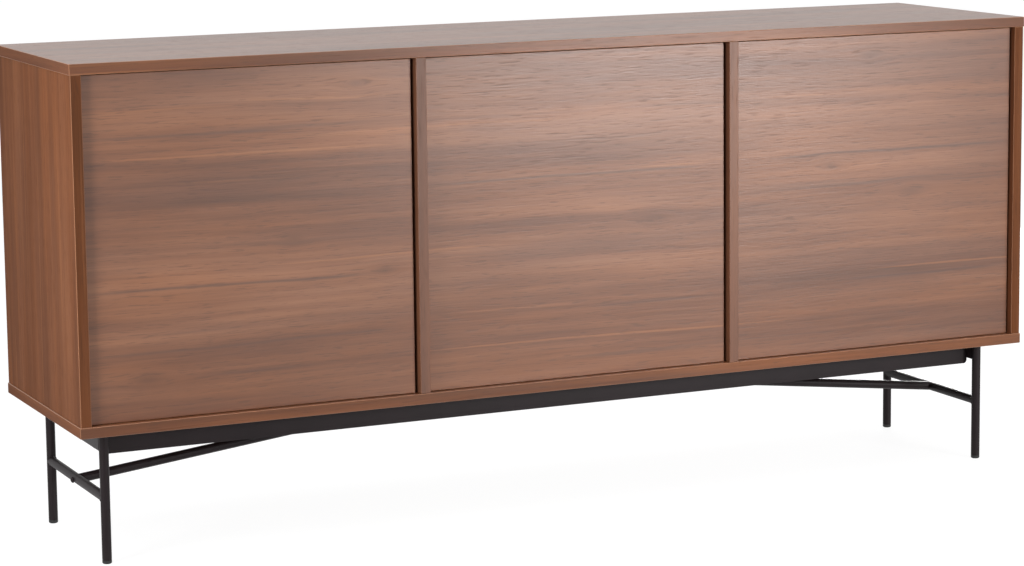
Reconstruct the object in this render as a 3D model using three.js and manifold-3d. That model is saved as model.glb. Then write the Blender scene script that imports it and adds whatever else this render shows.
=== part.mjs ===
// Office credenza: a walnut-faced carcase with three inset push-to-open doors on a braced tube base.
// Millimetres, +Z up, front towards -Y, origin on the floor under the middle of the carcase.
import * as THREE from 'three';
import { mergeVertices } from 'three/addons/utils/BufferGeometryUtils.js';
import loadManifold from 'manifold-3d';

const wasm = await loadManifold();
wasm.setup();

// Carcase
const LENGTH = 1800;
const DEPTH = 430;
const CARCASE_HEIGHT = 604;
const FLOOR_CLEARANCE = 224;
const BOARD = 18;
const ARRIS = 0.8; // eased edge of every board
const END_REVEAL = 1.5; // top and bottom stand past the sides at each end
const EDGE_REVEAL = 1; // and past the uprights at front and rear
const BAYS = ['left', 'middle', 'right'];

// Back panel, let into grooves
const BACK_THICKNESS = 5;
const BACK_INSET = 12; // rear edge of the carcase to the panel
const GROOVE_DEPTH = 6;
const GROOVE_CLEARANCE = 0.3;

// Doors
const HINGE_SIDES = { left: -1, middle: -1, right: 1 }; // which upright of the bay carries the hinges
const DOOR_THICKNESS = 18;
const DOOR_RECESS = 12; // behind the uprights' front edges
const DOOR_HINGE_GAP = 2.5;
const DOOR_FREE_GAP = 5;
const DOOR_TOP_GAP = 2;
const DOOR_BOTTOM_GAP = 0.8;

// Concealed hinges
const HINGE_FROM_END = 90; // door's top or bottom edge to the hinge
const CUP_DIAMETER = 35;
const CUP_DEPTH = 12;
const CUP_WALL = 1;
const CUP_CLEARANCE = 0.2;
const CUP_EDGE = 5; // door's edge to the cup's bore
const CUP_RIM = 1.5; // rim past the bore
const CUP_FLANGE = 1.2; // thickness of the rim and the wings
const WING_LENGTH = 62;
const WING_WIDTH = 20;
const ARM_LENGTH = 66; // behind the door
const ARM_WIDTH = 14;
const ARM_THICKNESS = 10;
const ARM_CLEARANCE = 0.8; // behind the cup's rim
const CRANK_RUN = 14;
const NOSE_WIDTH = 10;
const NOSE_DIP = 4.5; // how far the arm's nose reaches into the cup
const HINGE_PLATE_THICKNESS = 3;
const HINGE_PLATE_WIDTH = 18;
const HINGE_PLATE_HEIGHT = 50;

// Push latches
const LATCH_DROP = 45; // top board to the plunger's axis
const LATCH_LENGTH = 75;
const LATCH_STANDOFF = 3; // door to the housing
const LATCH_RADIUS = 8;
const LATCH_AXIS = 12; // upright to the plunger's axis
const LATCH_END_WALL = 4;
const LATCH_PLATE_LENGTH = 30;
const LATCH_PLATE_HEIGHT = 36;
const LATCH_PLATE_THICKNESS = 2;
const LATCH_PLATE_CORNER = 4;
const LATCH_HOLE_DIAMETER = 4;
const LATCH_HOLE_INSET = 5; // plate's upper or lower edge to the hole
const PLUNGER_DIAMETER = 10;
const PLUNGER_LENGTH = 50;
const PLUNGER_CLEARANCE = 0.3;
const PLUNGER_TIP = 1; // eased rim of the tip
const PLUNGER_DOOR_GAP = 0.3;

// Shelves on pins
const SHELF_RISE = 275; // bottom board to the shelf's underside
const SHELF_SETBACK = 30; // behind the doors
const SHELF_REAR_GAP = 8;
const SHELF_END_GAP = 1;
const PIN_DIAMETER = 5;
const PIN_BITE = 6;
const PIN_CLEARANCE = 0.1;
const PEG_DIAMETER = 7;
const PEG_LENGTH = 8;
const PIN_INSET = 50; // shelf's front or rear edge to the pin
const PIN_SIDES = 12;
const ROW_PITCH = 32; // between the holes of a row
const ROW_STEPS = [-1, 0, 1]; // holes below, at and above the shelf

// Tube base
const TUBE_DIAMETER = 16;
const TUBE_WALL = 1.5;
const TUBE_SIDES = 20;
const LEG_INSET_X = 56; // end of the top board to the leg's axis
const LEG_INSET_Y = 60; // front or rear edge of the top board to the leg's axis
const STRETCHER_DROP = 114; // underside to the stretcher's axis
const CROSSBAR_HEIGHT = 36;
const CROSSBAR_WIDTH = 16;
const CROSSBAR_WALL = 2;
const FOOT_HEIGHT = 6;
const FOOT_ROUND = 2.5;
const FOOT_PLUG = 14;
const PLUG_CLEARANCE = 0.1;

// Long rails, folded angles
const RAIL_HEIGHT = 46;
const RAIL_FLANGE = 26;
const RAIL_THICKNESS = 3;
const RAIL_INSET = 80; // front or rear edge of the top board to the rail's face
const RAIL_CORNER = 6;
const RAIL_HOLE_DIAMETER = 5;
const RAIL_HOLE_END = 136; // rail's end to its outermost hole
const RAIL_HOLE_STEPS = [-2, -1, 0, 1, 2];

// Braces and their hangers
const BRACE_END_DROP = 16; // underside to the brace's axis at its hanger
const BRACE_PLUG = 20; // closed outer end that takes the bolt
const COPE_CLEARANCE = 0.3;
const HANGER_GAP = 4; // middle of the underside to each hanger
const HANGER_THICKNESS = 4;
const HANGER_LENGTH = 46;
const HANGER_WIDTH = 44;
const HANGER_DROP = 26;
const HANGER_TAB_WIDTH = 24;
const HANGER_CORNER = 3;
const HANGER_HOLE_DIAMETER = 5.5;
const HANGER_HOLE_INSET = 12; // hanger's free end to the holes
const HANGER_HOLE_SPACING = 30;

// Fasteners with domed heads
const BOLT_DIAMETER = 6;
const BOLT_HEAD_DIAMETER = 11;
const BOLT_HEAD_HEIGHT = 3.5;
const BOLT_BITE = 16; // thread inside the brace
const SCREW_DIAMETER = 5;
const SCREW_HEAD_DIAMETER = 11;
const SCREW_HEAD_HEIGHT = 3.5;
const SCREW_BITE = 12; // thread inside the bottom board
const SCREW_FROM_LEG = 42; // leg's axis to the screw
const FASTENER_CLEARANCE = 0.3;
const FASTENER_SIDES = 12;

// Fineness of arcs, and the distance at which corners count as one
const ARC_STEPS = 6;
const CORNER_STEPS = 3;
const HOLE_SIDES = 8;
const DOME_STEPS = 4;
const WELD_DISTANCE = 1e-4;

// Finishes
const WALNUT = { color: 0x8d6049, roughness: 0.5, metalness: 0 };
const WALNUT_FRONT = { color: 0x8c6754, roughness: 0.48, metalness: 0 };
const FIBREBOARD = { color: 0x7a5541, roughness: 0.65, metalness: 0 };
const BLACK_METAL = { color: 0x2e2b2c, roughness: 0.45, metalness: 0.4 };
const BLACK_PLASTIC = { color: 0x1d1c1c, roughness: 0.6, metalness: 0 };
const GREY_PLASTIC = { color: 0x8f8f8c, roughness: 0.55, metalness: 0 };
const NICKEL = { color: 0xb9b6ae, roughness: 0.3, metalness: 1 };

// Planes and radii that several pieces share
const UNDERSIDE = FLOOR_CLEARANCE;
const TOP = UNDERSIDE + CARCASE_HEIGHT;
const BAY_FLOOR = UNDERSIDE + BOARD;
const BAY_CEILING = TOP - BOARD;
const INNER_HALF = LENGTH / 2 - END_REVEAL - BOARD;
const BAY_WIDTH = (2 * INNER_HALF - (BAYS.length - 1) * BOARD) / BAYS.length;
const UPRIGHT_FRONT = -DEPTH / 2 + EDGE_REVEAL;
const UPRIGHT_REAR = DEPTH / 2 - EDGE_REVEAL;
const DOOR_FRONT = UPRIGHT_FRONT + DOOR_RECESS;
const DOOR_BACK = DOOR_FRONT + DOOR_THICKNESS;
const DOOR_BOTTOM = BAY_FLOOR + DOOR_BOTTOM_GAP;
const DOOR_TOP = BAY_CEILING - DOOR_TOP_GAP;
const HINGE_HEIGHTS = { lower: DOOR_BOTTOM + HINGE_FROM_END, upper: DOOR_TOP - HINGE_FROM_END };
const CUP_CENTRE = CUP_EDGE + CUP_DIAMETER / 2; // from the door's hinge edge
const LATCH_Z = BAY_CEILING - LATCH_DROP;
const BACK_REAR = DEPTH / 2 - BACK_INSET;
const BACK_FRONT = BACK_REAR - BACK_THICKNESS;
const GROOVE_FRONT = BACK_FRONT - GROOVE_CLEARANCE;
const GROOVE_REAR = BACK_REAR + GROOVE_CLEARANCE;
const SHELF_FRONT = DOOR_BACK + SHELF_SETBACK;
const SHELF_REAR = BACK_FRONT - SHELF_REAR_GAP;
const SHELF_BOTTOM = BAY_FLOOR + SHELF_RISE;
const PIN_ROWS = { front: SHELF_FRONT + PIN_INSET, rear: SHELF_REAR - PIN_INSET };
const PIN_Z = SHELF_BOTTOM - (PEG_DIAMETER / 2) * Math.cos(Math.PI / PIN_SIDES);
const TUBE_RADIUS = TUBE_DIAMETER / 2;
const BORE_RADIUS = TUBE_RADIUS - TUBE_WALL;
const LEG_X = LENGTH / 2 - LEG_INSET_X;
const LEG_Y = DEPTH / 2 - LEG_INSET_Y;
const SCREW_Y = LEG_Y - SCREW_FROM_LEG;
const STRETCHER_Z = UNDERSIDE - STRETCHER_DROP;
const BRACE_RUN = LEG_X - HANGER_GAP - HANGER_THICKNESS;
const BRACE_RISE = STRETCHER_DROP - BRACE_END_DROP;
const BRACE_LENGTH = Math.hypot(BRACE_RUN, BRACE_RISE);
const SPARE = 1; // how far a cutter runs past the face that it opens

const ENDS = { left: -1, right: 1 };
const FACES = { front: -1, rear: 1 };

// Joining and cutting of closed meshes
function solid(geometry) {
  const bare = geometry.clone();
  bare.deleteAttribute('normal');
  bare.deleteAttribute('uv');
  const merged = mergeVertices(bare, WELD_DISTANCE);
  const corners = merged.index.array;
  const triangles = [];
  for (let i = 0; i < corners.length; i += 3) {
    const [a, b, c] = corners.slice(i, i + 3);
    if (a !== b && b !== c && c !== a) triangles.push(a, b, c);
  }
  const vertProperties = merged.attributes.position.array;
  const triVerts = Uint32Array.from(triangles);
  return new wasm.Manifold(new wasm.Mesh({ numProp: 3, vertProperties, triVerts }));
}

function combine(joined, removed = []) {
  let body = solid(joined[0]);
  for (const piece of joined.slice(1)) body = body.add(solid(piece));
  for (const piece of removed) body = body.subtract(solid(piece));
  const mesh = body.getMesh();
  const geometry = new THREE.BufferGeometry();
  geometry.setAttribute('position', new THREE.BufferAttribute(Float32Array.from(mesh.vertProperties), 3));
  geometry.setIndex(new THREE.BufferAttribute(Uint32Array.from(mesh.triVerts), 1));
  geometry.computeVertexNormals();
  return geometry;
}

function ordered(a, b) {
  return [Math.min(a, b), Math.max(a, b)];
}

// Basic solids
function block(low, high) {
  const size = high.map((value, axis) => value - low[axis]);
  const middle = high.map((value, axis) => (value + low[axis]) / 2);
  return new THREE.BoxGeometry(...size).translate(...middle);
}

function rod(radius, from, to, sides = TUBE_SIDES) {
  const start = new THREE.Vector3(...from);
  const end = new THREE.Vector3(...to);
  const along = end.clone().sub(start);
  const length = along.length();
  const turn = new THREE.Quaternion().setFromUnitVectors(new THREE.Vector3(0, 1, 0), along.normalize());
  const middle = start.add(end).multiplyScalar(0.5);
  const cylinder = new THREE.CylinderGeometry(radius, radius, length, sides);
  return cylinder.applyQuaternion(turn).translate(middle.x, middle.y, middle.z);
}

// Cutter whose flat facets lie at the radius, so that a round piece of that radius passes.
function hole(radius, from, to, sides = TUBE_SIDES) {
  return rod(radius / Math.cos(Math.PI / sides), from, to, sides);
}

// Turned solid about +Y from [radius, height] pairs that start and end on the axis.
function turned(profile, sides, startAngle = 0) {
  const points = profile.map(([radius, height]) => new THREE.Vector2(radius, height));
  return new THREE.LatheGeometry(points, sides, startAngle);
}

// Fastener along +Y, with its head below y = 0 and its shank above.
function domedFastener(shankRadius, shankLength, headRadius, headHeight) {
  const dome = [];
  for (let step = 0; step <= DOME_STEPS; step += 1) {
    const angle = (step / DOME_STEPS) * (Math.PI / 2);
    dome.push([headRadius * Math.sin(angle), -headHeight * Math.cos(angle)]);
  }
  const shank = [[shankRadius, 0], [shankRadius, shankLength], [0, shankLength]];
  return turned([...dome, ...shank], FASTENER_SIDES);
}

// Flat shape raised from z = 0
function extruded(outline, depth, curveSegments = ARC_STEPS) {
  return new THREE.ExtrudeGeometry(outline, { depth, bevelEnabled: false, curveSegments });
}

// Plate with round ends: width along X, length along Y, rising from z = 0.
function roundEndedPlate(width, length, thickness) {
  const radius = width / 2;
  const straight = length / 2 - radius;
  const outline = new THREE.Shape();
  outline.absarc(0, straight, radius, 0, Math.PI);
  outline.absarc(0, -straight, radius, Math.PI, 2 * Math.PI);
  return extruded(outline, thickness);
}

// Plate with rounded corners: width along X, length along Y, rising from z = 0.
function roundedPlate(width, length, corner, thickness) {
  const x = width / 2 - corner;
  const y = length / 2 - corner;
  const outline = new THREE.Shape();
  [[x, y], [-x, y], [-x, -y], [x, -y]].forEach(([cx, cy], quarter) => {
    outline.absarc(cx, cy, corner, (quarter * Math.PI) / 2, ((quarter + 1) * Math.PI) / 2);
  });
  return extruded(outline, thickness, CORNER_STEPS);
}

function add(parent, name, geometry, finish, position = [0, 0, 0]) {
  const mesh = new THREE.Mesh(geometry, new THREE.MeshStandardMaterial(finish));
  mesh.name = name;
  mesh.position.set(...position);
  parent.add(mesh);
  return mesh;
}

// Board between two corners with its arrises eased; cutters are placed in the object's frame.
function addBoard(parent, name, low, high, finish, cutters = []) {
  const size = high.map((value, axis) => value - low[axis]);
  const middle = high.map((value, axis) => (value + low[axis]) / 2);
  const thin = size.indexOf(Math.min(...size));
  const [width, height] = [[size[2], size[1]], [size[0], size[2]], [size[0], size[1]]][thin];
  const x = width / 2;
  const y = height / 2;
  const corners = [
    [x, y - ARRIS], [x - ARRIS, y], [ARRIS - x, y], [-x, y - ARRIS],
    [-x, ARRIS - y], [ARRIS - x, -y], [x - ARRIS, -y], [x, ARRIS - y],
  ];
  const outline = new THREE.Shape(corners.map(([px, py]) => new THREE.Vector2(px, py)));
  const eased = { bevelThickness: ARRIS, bevelSize: ARRIS, bevelOffset: -ARRIS, bevelSegments: 1 };
  const body = new THREE.ExtrudeGeometry(outline, { depth: size[thin] - 2 * ARRIS, ...eased });
  body.translate(0, 0, ARRIS - size[thin] / 2);
  if (thin === 0) body.rotateY(Math.PI / 2);
  if (thin === 1) body.rotateX(Math.PI / 2);
  const local = cutters.map((cutter) => cutter.translate(...middle.map((value) => -value)));
  add(parent, name, combine([body], local), finish, middle);
}

// Inner faces of a bay, as the X of its left and right uprights
function bayFaces(index) {
  const left = -INNER_HALF + index * (BAY_WIDTH + BOARD);
  return { left, right: left + BAY_WIDTH };
}

// Rows of shelf-pin holes drilled into an upright from one face; inward is the direction into the board.
function pinHoles(faceX, inward) {
  const radius = PIN_DIAMETER / 2 + PIN_CLEARANCE;
  const from = faceX - inward * SPARE;
  const to = faceX + inward * (PIN_BITE + PIN_CLEARANCE);
  const holes = [];
  for (const y of Object.values(PIN_ROWS)) {
    for (const step of ROW_STEPS) {
      const z = PIN_Z + step * ROW_PITCH;
      holes.push(hole(radius, [from, y, z], [to, y, z], step === 0 ? PIN_SIDES : HOLE_SIDES));
    }
  }
  return holes;
}

function addCarcase(parent) {
  const half = LENGTH / 2;
  const reach = INNER_HALF + GROOVE_DEPTH;
  const groove = (low, high) => block([-reach, GROOVE_FRONT, low], [reach, GROOVE_REAR, high]);
  const topGroove = groove(BAY_CEILING - SPARE, BAY_CEILING + GROOVE_DEPTH);
  const bottomGroove = groove(BAY_FLOOR - GROOVE_DEPTH, BAY_FLOOR + SPARE);
  const pilots = [];
  for (const end of Object.values(ENDS)) {
    for (const face of Object.values(FACES)) {
      const at = [end * LEG_X, face * SCREW_Y];
      const deep = UNDERSIDE + SCREW_BITE + FASTENER_CLEARANCE;
      const radius = SCREW_DIAMETER / 2 + FASTENER_CLEARANCE;
      pilots.push(hole(radius, [...at, UNDERSIDE - SPARE], [...at, deep], FASTENER_SIDES));
    }
  }
  const plan = { low: [-half, -DEPTH / 2], high: [half, DEPTH / 2] };
  addBoard(parent, 'top_board', [...plan.low, BAY_CEILING], [...plan.high, TOP], WALNUT, [topGroove]);
  addBoard(parent, 'bottom_board', [...plan.low, UNDERSIDE], [...plan.high, BAY_FLOOR], WALNUT,
    [bottomGroove, ...pilots]);

  for (const [name, end] of Object.entries(ENDS)) {
    const inner = end * INNER_HALF;
    const [low, high] = ordered(inner, inner + end * BOARD);
    const [cutLow, cutHigh] = ordered(inner - end * SPARE, inner + end * GROOVE_DEPTH);
    const sideGroove = block(
      [cutLow, GROOVE_FRONT, BAY_FLOOR - SPARE], [cutHigh, GROOVE_REAR, BAY_CEILING + SPARE]);
    addBoard(parent, `side_${name}`,
      [low, UPRIGHT_FRONT, BAY_FLOOR], [high, UPRIGHT_REAR, BAY_CEILING], WALNUT,
      [sideGroove, ...pinHoles(inner, end)]);
  }

  ['left', 'right'].forEach((name, index) => {
    const low = bayFaces(index).right;
    const high = low + BOARD;
    addBoard(parent, `partition_${name}`,
      [low, UPRIGHT_FRONT, BAY_FLOOR], [high, GROOVE_FRONT, BAY_CEILING], WALNUT,
      [...pinHoles(low, 1), ...pinHoles(high, -1)]);
  });

  const tongue = GROOVE_DEPTH - GROOVE_CLEARANCE;
  addBoard(parent, 'back_panel',
    [-INNER_HALF - tongue, BACK_FRONT, BAY_FLOOR - tongue],
    [INNER_HALF + tongue, BACK_REAR, BAY_CEILING + tongue], FIBREBOARD);
}

// Cup let into the door: mouth towards +Y, with the rim's seat at y = 0.
function hingeCup() {
  const outer = CUP_DIAMETER / 2 - CUP_CLEARANCE;
  const inner = outer - CUP_WALL;
  const rim = CUP_DIAMETER / 2 + CUP_RIM;
  const bowl = turned([
    [0, -CUP_DEPTH], [outer, -CUP_DEPTH], [outer, 0], [rim, 0], [rim, CUP_FLANGE],
    [inner, CUP_FLANGE], [inner, CUP_WALL - CUP_DEPTH], [0, CUP_WALL - CUP_DEPTH],
  ], TUBE_SIDES);
  const wings = roundEndedPlate(WING_WIDTH, WING_LENGTH, CUP_FLANGE);
  wings.rotateX(Math.PI / 2).translate(0, CUP_FLANGE, 0);
  const mouth = rod(outer, [0, -SPARE, 0], [0, CUP_FLANGE + SPARE, 0]);
  return combine([bowl, combine([wings], [mouth])]);
}

// Cranked arm and plate on the upright. The origin is the door's front corner at the hinge edge, y runs back
// into the bay, and hand is the X direction from the upright into the bay.
function hingeArm(hand) {
  const panel = -DOOR_HINGE_GAP;
  const seat = panel + HINGE_PLATE_THICKNESS;
  const outer = seat + ARM_THICKNESS;
  const mouth = DOOR_THICKNESS + CUP_FLANGE + ARM_CLEARANCE;
  const bend = mouth + CRANK_RUN;
  const tip = DOOR_THICKNESS - NOSE_DIP;
  const rear = DOOR_THICKNESS + ARM_LENGTH;
  const noseLow = CUP_CENTRE - NOSE_WIDTH / 2;
  const noseHigh = CUP_CENTRE + NOSE_WIDTH / 2;
  const outline = new THREE.Shape();
  outline.moveTo(hand * seat, rear);
  outline.lineTo(hand * seat, bend);
  outline.quadraticCurveTo(hand * seat, mouth, hand * noseLow, mouth);
  outline.lineTo(hand * noseLow, tip);
  outline.lineTo(hand * noseHigh, tip);
  outline.lineTo(hand * noseHigh, mouth);
  outline.quadraticCurveTo(hand * noseHigh, mouth + ARM_THICKNESS, hand * CUP_CENTRE, mouth + ARM_THICKNESS);
  outline.quadraticCurveTo(hand * outer, mouth + ARM_THICKNESS, hand * outer, bend + ARM_THICKNESS);
  outline.lineTo(hand * outer, rear);
  const arm = extruded(outline, ARM_WIDTH).translate(0, 0, -ARM_WIDTH / 2);
  const plate = roundEndedPlate(HINGE_PLATE_WIDTH, HINGE_PLATE_HEIGHT, HINGE_PLATE_THICKNESS);
  plate.rotateX(Math.PI / 2).rotateZ(Math.PI / 2);
  const plateY = rear - HINGE_PLATE_WIDTH;
  plate.translate(hand > 0 ? panel : -seat, plateY, 0);
  return combine([arm, plate]);
}

// Housing of a push latch on its screw plate: flat side at x = 0, mouth at y = 0, hand is the X direction
// into the bay.
function latchHousing(hand) {
  const axis = hand * LATCH_AXIS;
  const outline = new THREE.Shape();
  outline.moveTo(0, -LATCH_RADIUS);
  outline.lineTo(axis, -LATCH_RADIUS);
  outline.absarc(axis, 0, LATCH_RADIUS, -Math.PI / 2, Math.PI / 2, hand < 0);
  outline.lineTo(0, LATCH_RADIUS);
  const body = extruded(outline, LATCH_LENGTH).rotateX(Math.PI / 2).translate(0, LATCH_LENGTH, 0);
  const radius = PLUNGER_DIAMETER / 2 + PLUNGER_CLEARANCE;
  const removed = [hole(radius, [axis, -SPARE, 0], [axis, LATCH_LENGTH - LATCH_END_WALL, 0])];
  const middle = LATCH_LENGTH / 2;
  const plate = roundedPlate(
    LATCH_PLATE_HEIGHT, LATCH_PLATE_LENGTH, LATCH_PLATE_CORNER, LATCH_PLATE_THICKNESS);
  plate.rotateY(Math.PI / 2).translate(hand > 0 ? 0 : -LATCH_PLATE_THICKNESS, middle, 0);
  const reach = hand * (LATCH_PLATE_THICKNESS + SPARE);
  for (const side of [-1, 1]) {
    const z = side * (LATCH_PLATE_HEIGHT / 2 - LATCH_HOLE_INSET);
    removed.push(hole(LATCH_HOLE_DIAMETER / 2, [-hand * SPARE, middle, z], [reach, middle, z], HOLE_SIDES));
  }
  return combine([body, plate], removed);
}

function latchPlunger() {
  const radius = PLUNGER_DIAMETER / 2;
  return turned([
    [0, 0], [radius - PLUNGER_TIP, 0], [radius, PLUNGER_TIP], [radius, PLUNGER_LENGTH], [0, PLUNGER_LENGTH],
  ], TUBE_SIDES);
}

// Shelf pin along +Y: shank below y = 0, peg above, with a flat facet upwards once it is laid along X.
function shelfPin() {
  const shank = PIN_DIAMETER / 2;
  const peg = PEG_DIAMETER / 2;
  const profile = [
    [0, -PIN_BITE], [shank, -PIN_BITE], [shank, 0], [peg, 0], [peg, PEG_LENGTH], [0, PEG_LENGTH],
  ];
  return turned(profile, PIN_SIDES, Math.PI / PIN_SIDES);
}

function addBay(parent, name, index) {
  const faces = bayFaces(index);
  const hingeSide = HINGE_SIDES[name];
  const hand = -hingeSide;
  const [hingeFace, latchFace] = hingeSide < 0 ? [faces.left, faces.right] : [faces.right, faces.left];
  const hingeEdge = hingeFace + hand * DOOR_HINGE_GAP;
  const [doorLow, doorHigh] = ordered(hingeEdge, latchFace - hand * DOOR_FREE_GAP);
  const cupX = hingeEdge + hand * CUP_CENTRE;
  const boreFloor = DOOR_BACK - CUP_DEPTH - CUP_CLEARANCE;
  const bores = Object.values(HINGE_HEIGHTS).map(
    (z) => hole(CUP_DIAMETER / 2, [cupX, boreFloor, z], [cupX, DOOR_BACK + SPARE, z]));
  addBoard(parent, `door_${name}`,
    [doorLow, DOOR_FRONT, DOOR_BOTTOM], [doorHigh, DOOR_BACK, DOOR_TOP], WALNUT_FRONT, bores);

  for (const [height, z] of Object.entries(HINGE_HEIGHTS)) {
    add(parent, `hinge_cup_${name}_${height}`, hingeCup(), NICKEL, [cupX, DOOR_BACK, z]);
    add(parent, `hinge_arm_${name}_${height}`, hingeArm(hand), NICKEL, [hingeEdge, DOOR_FRONT, z]);
  }

  const plungerX = latchFace - hand * LATCH_AXIS;
  add(parent, `latch_housing_${name}`, latchHousing(-hand), GREY_PLASTIC,
    [latchFace, DOOR_BACK + LATCH_STANDOFF, LATCH_Z]);
  add(parent, `latch_plunger_${name}`, latchPlunger(), GREY_PLASTIC,
    [plungerX, DOOR_BACK + PLUNGER_DOOR_GAP, LATCH_Z]);

  addBoard(parent, `shelf_${name}`,
    [faces.left + SHELF_END_GAP, SHELF_FRONT, SHELF_BOTTOM],
    [faces.right - SHELF_END_GAP, SHELF_REAR, SHELF_BOTTOM + BOARD], WALNUT);
  for (const [row, y] of Object.entries(PIN_ROWS)) {
    for (const [end, side] of Object.entries(ENDS)) {
      const pin = shelfPin().rotateZ((side * Math.PI) / 2);
      add(parent, `shelf_pin_${name}_${row}_${end}`, pin, NICKEL, [faces[end], y, PIN_Z]);
    }
  }
}

// Point on a brace's axis, measured inwards from the stretcher's axis; end picks the left or right brace.
function alongBrace(end, distance) {
  const share = distance / BRACE_LENGTH;
  return [end * (LEG_X - share * BRACE_RUN), 0, STRETCHER_Z + share * BRACE_RISE];
}

// Welded end frame: two legs, a stretcher coped onto them and a hollow crossbar under the carcase.
function endFrame(end) {
  const x = end * LEG_X;
  const innerEnd = LEG_Y - TUBE_RADIUS;
  const halfBar = CROSSBAR_WIDTH / 2;
  const barBottom = UNDERSIDE - CROSSBAR_HEIGHT;
  const joined = [
    rod(TUBE_RADIUS, [x, -LEG_Y, STRETCHER_Z], [x, LEG_Y, STRETCHER_Z]),
    block([x - halfBar, -LEG_Y, barBottom], [x + halfBar, LEG_Y, UNDERSIDE]),
  ];
  const halfHollow = halfBar - CROSSBAR_WALL;
  const boltRadius = BOLT_DIAMETER / 2 + FASTENER_CLEARANCE;
  const removed = [
    rod(BORE_RADIUS, [x, -innerEnd, STRETCHER_Z], [x, innerEnd, STRETCHER_Z]),
    block(
      [x - halfHollow, -innerEnd, barBottom + CROSSBAR_WALL],
      [x + halfHollow, innerEnd, UNDERSIDE - CROSSBAR_WALL]),
    hole(boltRadius, alongBrace(end, -TUBE_DIAMETER), alongBrace(end, TUBE_DIAMETER), FASTENER_SIDES),
  ];
  const screwRadius = SCREW_DIAMETER / 2 + FASTENER_CLEARANCE;
  for (const face of Object.values(FACES)) {
    const leg = [x, face * LEG_Y];
    const screw = [x, face * SCREW_Y];
    joined.push(rod(TUBE_RADIUS, [...leg, FOOT_HEIGHT], [...leg, UNDERSIDE]));
    removed.push(rod(BORE_RADIUS, [...leg, FOOT_HEIGHT - SPARE], [...leg, UNDERSIDE + SPARE]));
    removed.push(
      hole(screwRadius, [...screw, barBottom - SPARE], [...screw, UNDERSIDE + SPARE], FASTENER_SIDES));
  }
  return combine(joined, removed);
}

// Round brace, coped onto the stretcher and welded to a hanger at its inner end.
function brace(end) {
  const plate = roundedPlate(HANGER_LENGTH, HANGER_WIDTH, HANGER_CORNER, HANGER_THICKNESS);
  plate.translate(end * (HANGER_GAP + HANGER_LENGTH / 2), 0, UNDERSIDE - HANGER_THICKNESS);
  const tab = roundedPlate(HANGER_DROP, HANGER_TAB_WIDTH, HANGER_CORNER, HANGER_THICKNESS);
  const tabLow = end > 0 ? HANGER_GAP : -HANGER_GAP - HANGER_THICKNESS;
  tab.rotateY(Math.PI / 2).translate(tabLow, 0, UNDERSIDE - HANGER_DROP / 2);
  const plugEnd = TUBE_RADIUS + BRACE_PLUG;
  const boltRadius = BOLT_DIAMETER / 2 + FASTENER_CLEARANCE;
  const stretcher = [end * LEG_X, STRETCHER_Z];
  const joined = [
    rod(TUBE_RADIUS, alongBrace(end, 0), alongBrace(end, BRACE_LENGTH + HANGER_THICKNESS / 2)),
    plate,
    tab,
  ];
  const removed = [
    hole(TUBE_RADIUS + COPE_CLEARANCE,
      [stretcher[0], -TUBE_DIAMETER, stretcher[1]], [stretcher[0], TUBE_DIAMETER, stretcher[1]]),
    rod(BORE_RADIUS, alongBrace(end, plugEnd), alongBrace(end, BRACE_LENGTH)),
    hole(boltRadius, alongBrace(end, 0), alongBrace(end, plugEnd + SPARE), FASTENER_SIDES),
  ];
  const holeX = end * (HANGER_GAP + HANGER_LENGTH - HANGER_HOLE_INSET);
  for (const face of Object.values(FACES)) {
    const at = [holeX, (face * HANGER_HOLE_SPACING) / 2];
    const from = [...at, UNDERSIDE - HANGER_THICKNESS - SPARE];
    removed.push(hole(HANGER_HOLE_DIAMETER / 2, from, [...at, UNDERSIDE + SPARE], HOLE_SIDES));
  }
  return combine(joined, removed);
}

// Long rail: a folded angle whose upright leg has rounded lower corners and faces outwards, with screw holes
// through its flange.
function rail(face) {
  const half = LEG_X - CROSSBAR_WIDTH / 2;
  const outline = new THREE.Shape();
  outline.moveTo(-half, 0);
  outline.absarc(RAIL_CORNER - half, RAIL_CORNER - RAIL_HEIGHT, RAIL_CORNER, Math.PI, 1.5 * Math.PI);
  outline.absarc(half - RAIL_CORNER, RAIL_CORNER - RAIL_HEIGHT, RAIL_CORNER, 1.5 * Math.PI, 2 * Math.PI);
  outline.lineTo(half, 0);
  const web = extruded(outline, RAIL_THICKNESS, CORNER_STEPS);
  const outside = DEPTH / 2 - RAIL_INSET;
  web.rotateX(Math.PI / 2).translate(0, face < 0 ? RAIL_THICKNESS - outside : outside, UNDERSIDE);
  const [flangeLow, flangeHigh] = ordered(face * (outside - RAIL_FLANGE), face * outside);
  const flange = block([-half, flangeLow, UNDERSIDE - RAIL_THICKNESS], [half, flangeHigh, UNDERSIDE]);
  const holeY = face * (outside - (RAIL_FLANGE + RAIL_THICKNESS) / 2);
  const pitch = (half - RAIL_HOLE_END) / Math.max(...RAIL_HOLE_STEPS);
  const holes = RAIL_HOLE_STEPS.map((step) => {
    const from = [step * pitch, holeY, UNDERSIDE - RAIL_THICKNESS - SPARE];
    return hole(RAIL_HOLE_DIAMETER / 2, from, [step * pitch, holeY, UNDERSIDE + SPARE], HOLE_SIDES);
  });
  return combine([web, flange], holes);
}

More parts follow.
